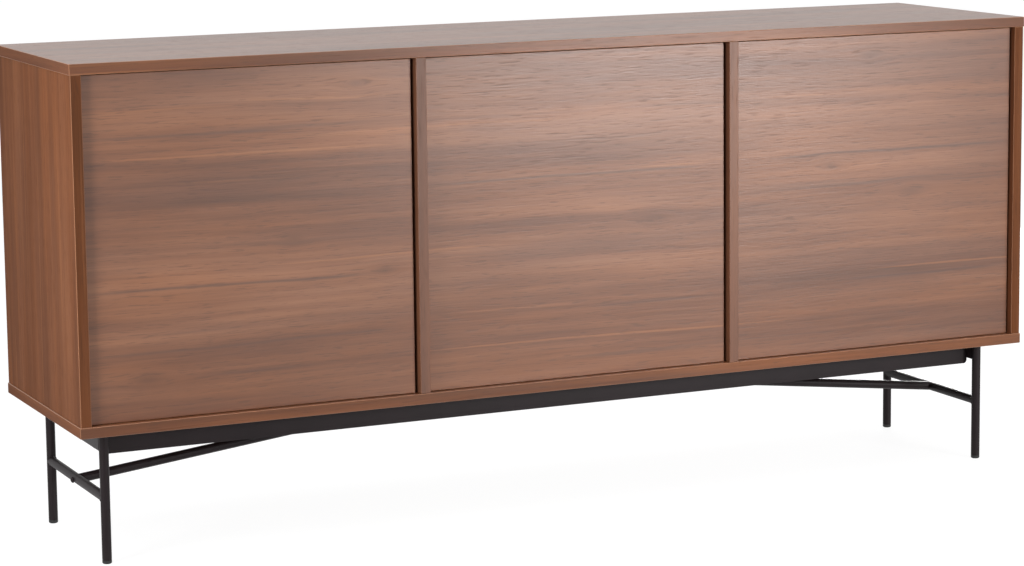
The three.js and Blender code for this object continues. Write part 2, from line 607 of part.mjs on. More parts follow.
// Plastic foot: rounded cap flush with the leg and a plug in its bore, standing on z = 0.
function foot() {
  const radius = TUBE_RADIUS;
  const plug = BORE_RADIUS - PLUG_CLEARANCE;
  const profile = [[0, 0]];
  for (let step = 0; step <= DOME_STEPS; step += 1) {
    const angle = (step / DOME_STEPS) * (Math.PI / 2);
    profile.push([radius - FOOT_ROUND * (1 - Math.sin(angle)), FOOT_ROUND * (1 - Math.cos(angle))]);
  }
  const top = FOOT_HEIGHT + FOOT_PLUG;
  profile.push([radius, FOOT_HEIGHT], [plug, FOOT_HEIGHT], [plug, top], [0, top]);
  return turned(profile, TUBE_SIDES).rotateX(Math.PI / 2);
}

function addBase(parent) {
  for (const [name, end] of Object.entries(ENDS)) {
    add(parent, `end_frame_${name}`, endFrame(end), BLACK_METAL);
    add(parent, `brace_${name}`, brace(end), BLACK_METAL);

    const seat = TUBE_RADIUS + COPE_CLEARANCE;
    const boltLength = 2 * seat + BOLT_BITE;
    const boltShape = domedFastener(BOLT_DIAMETER / 2, boltLength, BOLT_HEAD_DIAMETER / 2, BOLT_HEAD_HEIGHT);
    const bolt = add(parent, `brace_bolt_${name}`, boltShape, BLACK_METAL, alongBrace(end, -seat));
    const inward = new THREE.Vector3(-end * BRACE_RUN, 0, BRACE_RISE).normalize();
    bolt.quaternion.setFromUnitVectors(new THREE.Vector3(0, 1, 0), inward);

    for (const [faceName, face] of Object.entries(FACES)) {
      add(parent, `foot_${faceName}_${name}`, foot(), BLACK_PLASTIC, [end * LEG_X, face * LEG_Y, 0]);
      const screwLength = CROSSBAR_HEIGHT + SCREW_BITE;
      const screw = domedFastener(
        SCREW_DIAMETER / 2, screwLength, SCREW_HEAD_DIAMETER / 2, SCREW_HEAD_HEIGHT);
      add(parent, `frame_screw_${faceName}_${name}`, screw.rotateX(Math.PI / 2), BLACK_METAL,
        [end * LEG_X, face * SCREW_Y, UNDERSIDE - CROSSBAR_HEIGHT]);
    }
  }
  for (const [name, face] of Object.entries(FACES)) add(parent, `rail_${name}`, rail(face), BLACK_METAL);
}

const credenza = new THREE.Group();
const carcase = new THREE.Group();
const base = new THREE.Group();
credenza.add(carcase, base);
addCarcase(carcase);
BAYS.forEach((name, index) => addBay(carcase, name, index));
addBase(base);

export default credenza;
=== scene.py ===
import math

import bmesh
import bpy
from mathutils import Matrix, Vector


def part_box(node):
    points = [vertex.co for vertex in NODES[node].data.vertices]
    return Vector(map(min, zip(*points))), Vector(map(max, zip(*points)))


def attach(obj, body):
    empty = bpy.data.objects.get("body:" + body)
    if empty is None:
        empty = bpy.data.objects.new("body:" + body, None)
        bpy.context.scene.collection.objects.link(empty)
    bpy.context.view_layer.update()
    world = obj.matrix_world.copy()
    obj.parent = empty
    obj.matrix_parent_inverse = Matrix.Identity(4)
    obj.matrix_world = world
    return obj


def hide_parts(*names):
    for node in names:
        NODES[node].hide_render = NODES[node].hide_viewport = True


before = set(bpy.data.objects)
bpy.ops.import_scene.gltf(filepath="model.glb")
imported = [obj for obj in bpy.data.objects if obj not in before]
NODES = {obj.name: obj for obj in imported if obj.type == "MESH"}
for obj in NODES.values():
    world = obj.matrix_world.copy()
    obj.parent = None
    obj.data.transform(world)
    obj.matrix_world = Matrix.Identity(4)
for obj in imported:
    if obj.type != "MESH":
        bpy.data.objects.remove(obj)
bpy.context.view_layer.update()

BAYS = ("left", "middle", "right")
ENDS = {"left": -1, "right": 1}
FACES = {"front": -1, "rear": 1}
HINGE_SIDES = {"left": -1, "middle": -1, "right": 1}  # which side of the bay carries the hinges
MM = 0.001
DOWN = (0, 0, -1)

# Camera, fitted to the photograph's frame
IMAGE_WIDTH = 1024
IMAGE_HEIGHT = 566
FOCAL_PIXELS = 3005.5
AXIS_ROW = 222  # image row that the optical axis meets
SENSOR_WIDTH = 36.0
CAMERA_RANGE = 200.0
CAMERA_PLACE = Vector((-2.2496, -4.7913, 1.2528))
CAMERA_YAW = math.radians(24.812)
CAMERA_PITCH = math.radians(8.237)
CAMERA_ROLL = math.radians(0.623)

# Sizes of the base, in metres
ROUND_SIDES = 48
TUBE_RADIUS = 8 * MM
TUBE_WALL = 1.6 * MM
TUBE_EASE = 0.5 * MM
STRETCHER_Z = 110 * MM
COPE_CLEARANCE = 0.3 * MM
CROSSBAR_CORNER = 1.6 * MM
PLATE_EASE = 0.5 * MM
FOOT_HEIGHT = 6 * MM
FOOT_EASE = 2.5 * MM
FOOT_SEAM = 0.4 * MM
FOOT_STEPS = 6
RAIL_THICKNESS = 3 * MM
RAIL_FLANGE = 26 * MM
RAIL_BEND = 4 * MM
RAIL_BEND_STEPS = 5
RAIL_CORNER = 6 * MM
RAIL_CORNER_STEPS = 8
RAIL_SCREW_PLACES = (-0.70, -0.35, 0.0, 0.35, 0.70)
BRACE_END_DROP = 16 * MM
HANGER_THICKNESS = 4 * MM
HANGER_LENGTH = 46 * MM
HANGER_WIDTH = 44 * MM
HANGER_DROP = 26 * MM
HANGER_TAB_WIDTH = 24 * MM
HANGER_CORNER = 3 * MM
HANGER_HOLE_INSET = 12 * MM
HANGER_HOLE_SPACING = 30 * MM
WELD_RADIUS = 1.3 * MM
WELD_RIPPLE = 0.18
WELD_STEPS = 56
WELD_SIDES = 10
WELD_START = 25  # degrees from the tube's side to the bead's end
WELD_LOOP = math.radians(372)  # a bead all round runs past its start

# Sizes of the fasteners and fittings, in metres
SCREW_HEAD_HEIGHT = 3.5 * MM
SCREW_RADIUS = 2.5 * MM
BOLT_HEAD_RADIUS = 5.5 * MM
BOLT_HEAD_HEIGHT = 3.5 * MM
BOLT_RADIUS = 3 * MM
BOLT_GRIP = 30 * MM
DOME_STEPS = 6
DOME_ANGLE = math.radians(62)
HEX_FLATS = 4 * MM
HEX_DEPTH = 2 * MM
PAN_HEAD_RADIUS = 4.2 * MM
PAN_HEAD_HEIGHT = 2.2 * MM
PAN_RECESS_LENGTH = 4.6 * MM
PAN_RECESS_WIDTH = 1.4 * MM
PAN_RECESS_DEPTH = 1.5 * MM
SMALL_HEAD_RADIUS = 3.2 * MM
SMALL_HEAD_HEIGHT = 1.3 * MM
SMALL_RECESS_LENGTH = 3.6 * MM
SMALL_RECESS_WIDTH = 1.1 * MM
SMALL_RECESS_DEPTH = 1 * MM
WING_SCREW_REACH = 24 * MM
PLATE_SCREW_REACH = 16 * MM
HINGE_PLATE = 3 * MM
HINGE_PLATE_WIDTH = 18 * MM
ARM_THICKNESS = 10 * MM
ARM_SCREW_REAR = 12 * MM
ARM_SCREW_FRONT = 30 * MM
PLUNGER_EASE = 1 * MM
PLUNGER_DOME = 0.3 * MM
LATCH_PLATE = 2 * MM
LATCH_SCREW_REACH = 13 * MM
PIN_BITE = 6 * MM
PIN_COLLAR = 1 * MM
PIN_EASE = 0.4 * MM
MERGE_DISTANCE = 0.01 * MM  # points nearer than this are one
TINY = 1e-6  # keeps a division off zero


def srgb(red, green, blue):
    """Linear colour for a shader from the 0 to 255 values of a screen."""
    def linear(value):
        share = value / 255
        return share / 12.92 if share <= 0.04045 else ((share + 0.055) / 1.055) ** 2.4
    return (linear(red), linear(green), linear(blue), 1.0)


# Sockets of a mix node: the factor and the two values, for numbers and for colours
NUMBER_SOCKETS = (0, 2, 3)
COLOUR_SOCKETS = (0, 6, 7)
COLOUR_OUTPUT = 2


class Nodes:
    """Short way to write nodes: each value is a number, a colour or another node's output."""

    def __init__(self, tree):
        self.tree = tree

    def put(self, socket, value):
        if isinstance(value, bpy.types.NodeSocket):
            self.tree.links.new(value, socket)
        else:
            socket.default_value = value

    def add(self, kind, inputs=None, **settings):
        node = self.tree.nodes.new(kind)
        for key, value in settings.items():
            setattr(node, key, value)
        for key, value in (inputs or {}).items():
            self.put(node.inputs[key], value)
        return node

    def math(self, operation, *values, clamp=False):
        node = self.add("ShaderNodeMath", operation=operation, use_clamp=clamp)
        for socket, value in zip(node.inputs, values):
            self.put(socket, value)
        return node.outputs[0]

    def vector(self, x, y, z):
        return self.add("ShaderNodeCombineXYZ", {"X": x, "Y": y, "Z": z}).outputs[0]

    def noise(self, vector, detail=2.0, roughness=0.5):
        inputs = {"Vector": vector, "Scale": 1.0, "Detail": detail, "Roughness": roughness}
        return self.add("ShaderNodeTexNoise", inputs).outputs[0]

    def step(self, value, low, high):
        """Smooth step from 0 at low to 1 at high."""
        inputs = {"Value": value, "From Min": low, "From Max": high}
        return self.add("ShaderNodeMapRange", inputs, interpolation_type="SMOOTHSTEP").outputs[0]

    def scale(self, value, low, high):
        """Value from 0 to 1, stretched to run from low to high."""
        inputs = {"Value": value, "To Min": low, "To Max": high}
        return self.add("ShaderNodeMapRange", inputs).outputs[0]

    def blend(self, factor, first, second):
        node = self.add("ShaderNodeMix", data_type="FLOAT")
        for index, value in zip(NUMBER_SOCKETS, (factor, first, second)):
            self.put(node.inputs[index], value)
        return node.outputs[0]

    def mix(self, factor, first, second, blend_type="MIX"):
        node = self.add("ShaderNodeMix", data_type="RGBA", blend_type=blend_type)
        for index, value in zip(COLOUR_SOCKETS, (factor, first, second)):
            self.put(node.inputs[index], value)
        return node.outputs[COLOUR_OUTPUT]

    def ramp(self, value, stops):
        node = self.add("ShaderNodeValToRGB", {"Fac": value})
        elements = node.color_ramp.elements
        while len(elements) < len(stops):
            elements.new(0.5)
        for element, (position, colour) in zip(elements, stops):
            element.position = position
            element.color = colour
        return node.outputs[0]

    def bump(self, height, distance, strength):
        inputs = {"Height": height, "Distance": distance, "Strength": strength}
        return self.add("ShaderNodeBump", inputs).outputs[0]


def new_material(name):
    """Material, the writer of its nodes, and its shader."""
    material = bpy.data.materials.new(name)
    material.use_nodes = True
    nodes = Nodes(material.node_tree)
    return material, nodes, material.node_tree.nodes["Principled BSDF"]


# Walnut tones from the dark streaks to the light ones
WALNUT_STOPS = (
    (0.30, srgb(92, 60, 44)),
    (0.43, srgb(116, 75, 54)),
    (0.53, srgb(132, 87, 62)),
    (0.68, srgb(158, 107, 77)),
)

# Redder tones of the sides and the level boards
SIDE_STOPS = (
    (0.30, srgb(90, 57, 39)),
    (0.43, srgb(114, 71, 48)),
    (0.53, srgb(130, 82, 55)),
    (0.68, srgb(156, 102, 69)),
)

# Tints that the tones are multiplied by, from cool to warm
WARMTH_STOPS = (
    (0.30, (0.935, 1.0, 1.12, 1.0)),
    (0.70, (1.065, 1.0, 0.88, 1.0)),
)

# Colours that are laid over the tones, and how strongly
LIT_COLOUR = srgb(184, 122, 80)
DIM_COLOUR = srgb(86, 64, 56)
CORE_COLOUR = srgb(78, 52, 40)
PORE_COLOUR = srgb(72, 52, 44)
# Pale colour for the eased arrises: partly rubbed wear, partly a painted highlight where the edges catch
# light
RUBBED_AND_HIGHLIGHT_COLOUR = srgb(190, 140, 108)
LIT_STRENGTH = 0.36
DIM_STRENGTH = 0.48
CORE_STRENGTH = 0.35
PORE_STRENGTH = 0.34

# Layers of noise drawn out along the grain: scale along it and across it, offset, detail and roughness
DRIFT = (0.8, 2.0, 1.3, 2.0, 0.55)
RIPPLE = (4.0, 16.0, 2.9, 2.0, 0.55)
BANDS = (0.9, 17.0, 11.0, 2.0, 0.5)
STRANDS = (1.8, 80.0, 23.0, 4.0, 0.6)
FIBRES = (8.0, 330.0, 37.0, 3.0, 0.6)
EMBOSS = (30.0, 440.0, 53.0, 2.0, 0.5)
CLOUD = (2.0, 8.0, 67.0, 3.0, 0.5)
LIT = (0.9, 90.0, 71.0, 1.0, 0.5)
DIM = (1.1, 46.0, 83.0, 2.0, 0.5)
WARMTH = (1.6, 14.0, 97.0, 4.0, 0.6)

# How far the first two layers bend the grain, in metres, and how much the next ones add to the tone
DRIFT_REACH = 0.016
RIPPLE_REACH = 0.003
BAND_SHARE = 0.45
STRAND_SHARE = 0.33
FIBRE_SHARE = 0.13
CLOUD_SHARE = 0.30
MIDDLE_TONE = 0.5

# Levels of the noise at which a streak or a pore starts and is full
LIT_RANGE = (0.69, 0.76)
DIM_RANGE = (0.62, 0.76)
PORE_RANGE = (0.57, 0.68)

# Faces told apart by their normals, and offsets that keep the faces of a board from repeating each other
FACING = 0.6  # least share of the normal along an axis that the face looks along
ARRIS_RANGE = (0.97, 0.80)  # largest share of the normal, on a flat face and on an eased arris
X_FACE_OFFSET = 3.1
Y_FACE_OFFSET = 5.7

# Relief and roughness of the wood
EMBOSS_DEPTH = 0.65 * MM
FIBRE_RELIEF = 0.5
FACE_RELIEF = 0.21
EDGE_RELIEF = 0.12
PORE_DULLING = 0.12
FIBRE_DULLING = 0.16
ROUGHNESS_DROP = 0.08  # evens out what the fibres add
END_ROUGHNESS = 0.95  # of the short end faces

# Which coordinate runs along the grain and which across it, for faces that look along x, y and z
GRAIN_DOOR = {"x": ("z", "y"), "y": ("x", "z"), "z": ("x", "y")}
GRAIN_LEVEL = {"x": ("y", "z"), "y": ("x", "z"), "z": ("x", "y")}
GRAIN_UPRIGHT = {"x": ("z", "y"), "y": ("z", "x"), "z": ("y", "x")}

# Figure of the doors' matched faces: knots as x, z and radius; lines as z, first x, last x and strength
DOOR_KNOTS = (
    (-0.781, 0.309, 0.016), (-0.362, 0.457, 0.013), (-0.406, 0.772, 0.015), (-0.525, 0.522, 0.014),
    (0.144, 0.509, 0.016), (0.581, 0.772, 0.016), (0.500, 0.578, 0.014), (0.669, 0.522, 0.018),
)
DOOR_DARK_LINES = (
    (0.703, -0.90, -0.50, 0.8), (0.453, -0.90, -0.36, 1.0), (0.353, -0.90, -0.31, 0.7),
    (0.595, -0.30, 0.28, 0.9), (0.598, 0.35, 0.90, 1.0), (0.369, 0.50, 0.90, 0.9), (0.363, 0.00, 0.28, 0.6),
)
DOOR_LIGHT_LINES = (
    (0.669, -0.90, -0.30, 0.9), (0.601, 0.06, 0.29, 1.0),
    (0.706, 0.33, 0.56, 0.8), (0.371, -0.27, 0.02, 0.7),
)
DARK_LINE_HALF = 0.0023
DARK_LINE_WEIGHT = 1.35
LIGHT_LINE_HALF = 0.0017
LIGHT_LINE_WEIGHT = 1.15
LINE_FADE = 0.10
KNOT_STRETCH = 2.6  # length of a knot along the grain against its height
KNOT_PULL = 0.8
KNOT_CORE = 3.0  # how tight the dark core is

# Other finishes
CLOUD_LOW = 0.3
CLOUD_HIGH = 0.7
PLASTIC_SWING = 0.08
SMUDGE_POLISH = 0.06
SMUDGE_DULLING = 0.10
ROLLING_SCALE = (900.0, 900.0, 60.0)  # the marks run along z


def bell(n, square, tightness=1.0):
    """Bell curve of a distance, from its square."""
    return n.math("POWER", math.e, n.math("MULTIPLY", square, -tightness))


def figure_lines(n, along, across, half_height, lines):
    """Sum of thin lines along the grain, each with soft ends."""
    total = 0.0
    for place, first, last, strength in lines:
        offset = n.math("DIVIDE", n.math("SUBTRACT", across, place), half_height)
        ridge = bell(n, n.math("MULTIPLY", offset, offset))
        start = n.step(along, first, first + LINE_FADE)
        stop = n.step(along, last, last - LINE_FADE)
        shaped = n.math("MULTIPLY", n.math("MULTIPLY", ridge, start), n.math("MULTIPLY", stop, strength))
        total = n.math("ADD", shaped, total)
    return total


def knot_warp(n, along, across, knots):
    """Grain that parts around each knot, and a mask of the knots' cores."""
    warped = across
    cores = 0.0
    for x, z, radius in knots:
        run = n.math("DIVIDE", n.math("SUBTRACT", along, x), KNOT_STRETCH * radius)
        above = n.math("SUBTRACT", across, z)
        rise = n.math("DIVIDE", above, radius)
        square = n.math("ADD", n.math("MULTIPLY", run, run), n.math("MULTIPLY", rise, rise))
        pull = n.math("MULTIPLY", above, n.math("MULTIPLY", bell(n, square), KNOT_PULL))
        warped = n.math("SUBTRACT", warped, pull)
        cores = n.math("ADD", bell(n, square, KNOT_CORE), cores)
    return warped, cores


def walnut(name, grain, main, seed, ior, roughness, contrast, edge_drop, wear_and_highlight,
           stops=WALNUT_STOPS, knots=(), dark_lines=(), light_lines=()):
    """Walnut-look face: streaks along the grain, embossed pores, knots, and arrises lightened partly as
    rubbed wear and partly as a painted highlight.

    main is the axis that the board's large faces look along, contrast the strength of the streaks,
    edge_drop how far the tone of the other faces is taken down, and wear_and_highlight how far the arrises
    are lightened, partly as rubbed wear and partly as a painted highlight.
    """
    material, n, shader = new_material(name)
    coords = n.add("ShaderNodeTexCoord").outputs
    place = n.add("ShaderNodeSeparateXYZ", {"Vector": coords["Object"]}).outputs
    normal = n.add("ShaderNodeSeparateXYZ", {"Vector": coords["Normal"]}).outputs
    axis = dict(zip("xyz", place))
    size = {key: n.math("ABSOLUTE", value) for key, value in zip("xyz", normal)}
    faces_x = n.math("GREATER_THAN", size["x"], FACING)
    faces_y = n.math("GREATER_THAN", size["y"], FACING)
    is_edge = n.math("LESS_THAN", size[main], FACING)

    def pick(index):
        """Coordinate along the grain (0) or across it (1), whichever way the face looks."""
        flat = n.blend(faces_y, axis[grain["z"][index]], axis[grain["y"][index]])
        return n.blend(faces_x, flat, axis[grain["x"][index]])

    along = pick(0)
    across = pick(1)
    face_y = n.math("MULTIPLY_ADD", faces_y, Y_FACE_OFFSET, seed)
    face = n.math("MULTIPLY_ADD", faces_x, X_FACE_OFFSET, face_y)

    def streaks(base, layer):
        """One layer of noise; base is the coordinate across the grain."""
        length_scale, width_scale, offset, detail, noise_roughness = layer
        x = n.math("MULTIPLY", along, length_scale)
        y = n.math("MULTIPLY", base, width_scale)
        return n.noise(n.vector(x, y, n.math("ADD", face, offset)), detail, noise_roughness)

    parted, cores = knot_warp(n, along, across, knots)
    drift = n.scale(streaks(across, DRIFT), -DRIFT_REACH, DRIFT_REACH)
    ripple = n.scale(streaks(across, RIPPLE), -RIPPLE_REACH, RIPPLE_REACH)
    line = n.math("ADD", n.math("ADD", parted, drift), ripple)

    fibres = streaks(line, FIBRES)
    layers = (
        (streaks(line, BANDS), BAND_SHARE),
        (streaks(line, STRANDS), STRAND_SHARE),
        (fibres, FIBRE_SHARE),
        (streaks(line, CLOUD), CLOUD_SHARE),
    )
    tone = MIDDLE_TONE
    for layer, share in layers:
        tone = n.math("MULTIPLY_ADD", n.math("SUBTRACT", layer, MIDDLE_TONE), share * contrast, tone)
    tone = n.math("MULTIPLY_ADD", is_edge, -edge_drop, tone)
    tint = n.ramp(streaks(line, WARMTH), WARMTH_STOPS)
    colour = n.mix(1.0, n.ramp(tone, stops), tint, "MULTIPLY")

    lit = n.step(streaks(line, LIT), *LIT_RANGE)
    light_figure = figure_lines(n, along, line, LIGHT_LINE_HALF, light_lines)
    lit = n.math("MULTIPLY_ADD", light_figure, LIGHT_LINE_WEIGHT, lit)
    colour = n.mix(n.math("MULTIPLY", lit, LIT_STRENGTH * contrast, clamp=True), colour, LIT_COLOUR)
    dim = n.step(streaks(line, DIM), *DIM_RANGE)
    dark_figure = figure_lines(n, along, line, DARK_LINE_HALF, dark_lines)
    dim = n.math("MULTIPLY_ADD", dark_figure, DARK_LINE_WEIGHT, dim)
    colour = n.mix(n.math("MULTIPLY", dim, DIM_STRENGTH * contrast, clamp=True), colour, DIM_COLOUR)
    colour = n.mix(n.math("MULTIPLY", cores, CORE_STRENGTH, clamp=True), colour, CORE_COLOUR)
    emboss = streaks(line, EMBOSS)
    pores = n.step(emboss, *PORE_RANGE)
    colour = n.mix(n.math("MULTIPLY", pores, PORE_STRENGTH * contrast), colour, PORE_COLOUR)
    largest = n.math("MAXIMUM", size["x"], n.math("MAXIMUM", size["y"], size["z"]))
    arris = n.step(largest, *ARRIS_RANGE)
    # Painted highlight with some rubbed wear: the eased arrises are lightened towards a pale colour
    colour = n.mix(n.math("MULTIPLY", arris, wear_and_highlight), colour, RUBBED_AND_HIGHLIGHT_COLOUR)
    n.put(shader.inputs["Base Color"], colour)

    dulled = n.math("MULTIPLY_ADD", pores, PORE_DULLING, roughness - ROUGHNESS_DROP)
    rough = n.math("MULTIPLY_ADD", fibres, FIBRE_DULLING, dulled)
    is_end = n.math("MULTIPLY", faces_x, is_edge)
    n.put(shader.inputs["Roughness"], n.blend(is_end, rough, END_ROUGHNESS))
    height = n.math("SUBTRACT", n.math("MULTIPLY", fibres, FIBRE_RELIEF), emboss)
    relief = n.blend(is_edge, FACE_RELIEF, EDGE_RELIEF)
    n.put(shader.inputs["Normal"], n.bump(height, EMBOSS_DEPTH, relief))
    shader.inputs["IOR"].default_value = ior
    return material


def piece_noise(n, scale, detail):
    """Noise that is fixed to the piece it is on."""
    coords = n.add("ShaderNodeTexCoord").outputs["Object"]
    return n.add("ShaderNodeTexNoise", {"Vector": coords, "Scale": scale, "Detail": detail}).outputs[0]


def clouded(n, cloud, dark, light):
    """Colour that drifts from dark to light with a noise."""
    return n.ramp(cloud, ((CLOUD_LOW, dark), (CLOUD_HIGH, light)))


def powder_coat(name, dark, light, ior):
    """Satin powder coat with a fine orange-peel skin."""
    material, n, shader = new_material(name)
    peel = piece_noise(n, scale=900.0, detail=2.0)
    cloud = piece_noise(n, scale=14.0, detail=3.0)
    n.put(shader.inputs["Base Color"], clouded(n, cloud, dark, light))
    n.put(shader.inputs["Roughness"], n.scale(cloud, low=0.40, high=0.56))
    n.put(shader.inputs["Normal"], n.bump(peel, distance=0.2 * MM, strength=0.25))
    shader.inputs["IOR"].default_value = ior
    return material


def moulded_plastic(name, dark, light, roughness):
    """Moulded plastic with a fine spark-eroded grain."""
    material, n, shader = new_material(name)
    grain = piece_noise(n, scale=1800.0, detail=3.0)
    cloud = piece_noise(n, scale=40.0, detail=2.0)
    n.put(shader.inputs["Base Color"], clouded(n, cloud, dark, light))
    grained = n.scale(grain, roughness - PLASTIC_SWING, roughness + PLASTIC_SWING)
    n.put(shader.inputs["Roughness"], grained)
    n.put(shader.inputs["Normal"], n.bump(grain, distance=0.1 * MM, strength=0.3))
    return material


def plated_steel(name, dark, light, roughness):
    """Plated steel with faint rolling marks and handling smudges."""
    material, n, shader = new_material(name)
    coords = n.add("ShaderNodeTexCoord").outputs["Object"]
    stretched = n.add("ShaderNodeMapping", {"Vector": coords, "Scale": ROLLING_SCALE}).outputs[0]
    marks = n.noise(stretched, detail=3.0)
    smudge = piece_noise(n, scale=60.0, detail=2.0)
    n.put(shader.inputs["Base Color"], clouded(n, smudge, dark, light))
    smudged = n.scale(smudge, roughness - SMUDGE_POLISH, roughness + SMUDGE_DULLING)
    n.put(shader.inputs["Roughness"], smudged)
    n.put(shader.inputs["Normal"], n.bump(marks, distance=0.05 * MM, strength=0.2))
    shader.inputs["Metallic"].default_value = 1.0
    return material


DOOR_WOOD = walnut(
    "walnut_door", GRAIN_DOOR, main="y", seed=0.0, ior=1.52, roughness=0.36, contrast=1.0,
    edge_drop=0.0, wear_and_highlight=0.25, knots=DOOR_KNOTS, dark_lines=DOOR_DARK_LINES, light_lines=DOOR_LIGHT_LINES,
)
LEFT_WOOD = walnut(
    "walnut_left_side", GRAIN_UPRIGHT, main="x", seed=17.0, ior=1.06, roughness=0.50, contrast=0.82,
    edge_drop=0.07, wear_and_highlight=0.55, stops=SIDE_STOPS,
)
# Painted light: this side's front edge is taken down less than the left side's, so it reads lighter, as an
# edge that is lit more
RIGHT_WOOD = walnut(
    "walnut_right_side", GRAIN_UPRIGHT, main="x", seed=29.0, ior=1.06, roughness=0.50, contrast=0.82,
    edge_drop=0.02, wear_and_highlight=0.55, stops=SIDE_STOPS,
)
PARTITION_WOOD = walnut(
    "walnut_partition", GRAIN_UPRIGHT, main="x", seed=23.0, ior=1.45, roughness=0.45, contrast=0.7,
    edge_drop=0.07, wear_and_highlight=0.05,
)
LEVEL_WOOD = walnut(
    "walnut_level", GRAIN_LEVEL, main="z", seed=31.0, ior=1.36, roughness=0.30, contrast=0.9,
    edge_drop=0.02, wear_and_highlight=0.55, stops=SIDE_STOPS,
)
BACK_WOOD = walnut(
    "walnut_back", GRAIN_DOOR, main="y", seed=47.0, ior=1.30, roughness=0.60, contrast=0.8,
    edge_drop=0.0, wear_and_highlight=0.25,
)
BLACK_METAL = powder_coat("black_powder_coat", srgb(29, 21, 23), srgb(37, 29, 31), ior=1.27)
FOOT_PLASTIC = moulded_plastic("foot_plastic", srgb(22, 21, 21), srgb(32, 31, 31), roughness=0.6)
LATCH_PLASTIC = moulded_plastic("latch_plastic", srgb(132, 132, 129), srgb(150, 150, 147), roughness=0.5)
NICKEL = plated_steel("nickel_plate", srgb(196, 193, 186), srgb(222, 220, 213), roughness=0.42)
ZINC = plated_steel("zinc_screw", srgb(150, 150, 148), srgb(186, 185, 180), roughness=0.36)


def finish_nodes(material, *names):
    """Gives imported nodes a material."""
    for name in names:
        NODES[name].data.materials.clear()
        NODES[name].data.materials.append(material)


finish_nodes(DOOR_WOOD, *(f"door_{bay}" for bay in BAYS))
finish_nodes(LEFT_WOOD, "side_left")
finish_nodes(RIGHT_WOOD, "side_right")
finish_nodes(PARTITION_WOOD, "partition_left", "partition_right")
finish_nodes(LEVEL_WOOD, "top_board", "bottom_board", *(f"shelf_{bay}" for bay in BAYS))
finish_nodes(BACK_WOOD, "back_panel")


# Mesh building
def aimed(place, direction):
    """Matrix that sets local z along a direction, at a place."""
    turn = Vector((0, 0, 1)).rotation_difference(Vector(direction).normalized())
    return Matrix.Translation(Vector(place)) @ turn.to_matrix().to_4x4()


def ring(bm, matrix, radius, height, sides=ROUND_SIDES):
    """Ring of vertices about local z; radius and height are numbers or functions of the angle."""
    vertices = []
    for index in range(sides):
        angle = 2 * math.pi * index / sides
        reach = radius(angle) if callable(radius) else radius
        level = height(angle) if callable(height) else height
        place = Vector((reach * math.cos(angle), reach * math.sin(angle), level))
        vertices.append(bm.verts.new(matrix @ place))
    return vertices


def skin(bm, rings):
    """Faces between neighbouring rings."""
    for lower, upper in zip(rings, rings[1:]):
        for index, vertex in enumerate(lower):
            after = (index + 1) % len(lower)
            bm.faces.new((vertex, lower[after], upper[after], upper[index]))


def cap(bm, matrix, vertices, height, upwards):
    """Fan of faces from a ring to a point on local z."""
    centre = bm.verts.new(matrix @ Vector((0, 0, height)))
    for index, vertex in enumerate(vertices):
        after = vertices[(index + 1) % len(vertices)]
        bm.faces.new((vertex, after, centre) if upwards else (after, vertex, centre))


def lathe(bm, matrix, profile, sides=ROUND_SIDES):
    """Closed turned shape from (radius, height) pairs, bottom to top, with flat ends."""
    rings = [ring(bm, matrix, radius, height, sides) for radius, height in profile]
    skin(bm, rings)
    cap(bm, matrix, rings[0], profile[0][1], False)
    cap(bm, matrix, rings[-1], profile[-1][1], True)


def rod(bm, start, end, radius, ease=TUBE_EASE):
    """Round bar between two points with eased ends."""
    direction = Vector(end) - Vector(start)
    length = direction.length
    profile = ((radius - ease, 0), (radius, ease), (radius, length - ease), (radius - ease, length))
    lathe(bm, aimed(start, direction), profile)


def inset(outline, distance):
    """Outline moved inwards; its points run anticlockwise."""
    moved = []
    for index, point in enumerate(outline):
        here = Vector(point)
        arriving = (here - Vector(outline[index - 1])).normalized()
        leaving = (Vector(outline[(index + 1) % len(outline)]) - here).normalized()
        inward = Vector((-arriving.y - leaving.y, arriving.x + leaving.x)).normalized()
        square = Vector((-arriving.y, arriving.x))
        moved.append(here + inward * distance / inward.dot(square))
    return moved


def slab(bm, matrix, outline, depth, ease=PLATE_EASE):
    """Outline in local x and y, raised along local z, with eased edges."""
    levels = [(outline, 0), (outline, depth)]
    if ease:
        eased = inset(outline, ease)
        levels = [(eased, 0), (outline, ease), (outline, depth - ease), (eased, depth)]
    rings = []
    for points, height in levels:
        rings.append([bm.verts.new(matrix @ Vector((x, y, height))) for x, y in points])
    skin(bm, rings)
    bm.faces.new(list(reversed(rings[0])))
    bm.faces.new(rings[-1])


def rounded_rectangle(width, height, corner, steps=5):
    """Outline about the origin, anticlockwise."""
    points = []
    for quarter, (side_x, side_y) in enumerate(((1, 1), (-1, 1), (-1, -1), (1, -1))):
        for step in range(steps + 1):
            angle = (quarter + step / steps) * math.pi / 2
            x = side_x * (width / 2 - corner) + corner * math.cos(angle)
            y = side_y * (height / 2 - corner) + corner * math.sin(angle)
            points.append((x, y))
    return points


def hex_recess(flats):
    """Radius of a hexagon socket as a function of the angle."""
    def radius(angle):
        turn = (angle + math.pi / 6) % (math.pi / 3) - math.pi / 6
        return flats / 2 / math.cos(turn)
    return radius


def cross_recess(length, width):
    """Radius of a cross recess as a function of the angle."""
    def radius(angle):
        turn = (angle + math.pi / 4) % (math.pi / 2) - math.pi / 4
        end = length / 2 / math.cos(turn)
        side = width / 2 / max(abs(math.sin(turn)), TINY)
        return min(end, side)
    return radius


HEX_RECESS = hex_recess(HEX_FLATS)
PAN_RECESS = cross_recess(PAN_RECESS_LENGTH, PAN_RECESS_WIDTH)
SMALL_RECESS = cross_recess(SMALL_RECESS_LENGTH, SMALL_RECESS_WIDTH)


